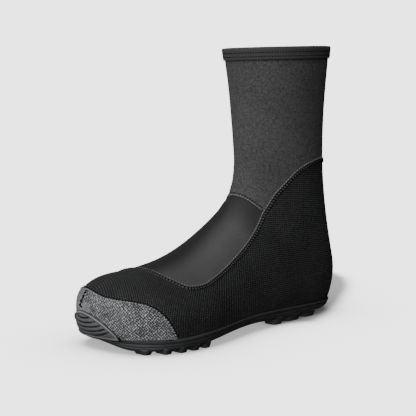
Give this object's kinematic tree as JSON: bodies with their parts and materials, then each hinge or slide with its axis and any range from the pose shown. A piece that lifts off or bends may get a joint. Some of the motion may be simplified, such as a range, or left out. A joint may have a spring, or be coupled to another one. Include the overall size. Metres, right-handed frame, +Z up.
{
  "type": "cycling overshoe",
  "caption": "Tall left cycling overshoe: hollow fabric upper with shaft, rough toe cap, ribbed toe guard, bound collar and a lugged rubber sole.",
  "frame": {"origin": "on the floor under the middle of the overshoe's bounding box", "axes": "+X to the toe, +Y to the outer (lateral) side of a left foot, +Z up from the floor to the collar"},
  "size_m": [0.305, 0.1136, 0.2686],
  "materials": {
    "knit_shell": "matt knit over thin foam",
    "sole_rubber": "matt moulded rubber",
    "abrasion_fabric": "rough coated weave",
    "guard_rubber": "satin moulded rubber",
    "binding_fabric": "folded jersey, twin stitched",
    "seam_thread": "raised flat seam with zigzag thread"
  },
  "bodies": {
    "root": {"upper": "knit_shell", "sole": "sole_rubber", "toe_cap": "abrasion_fabric", "toe_guard": "guard_rubber", "collar_binding": "binding_fabric", "seam_side": "seam_thread", "seam_ankle": "seam_thread"}
  },
  "joints": []
}
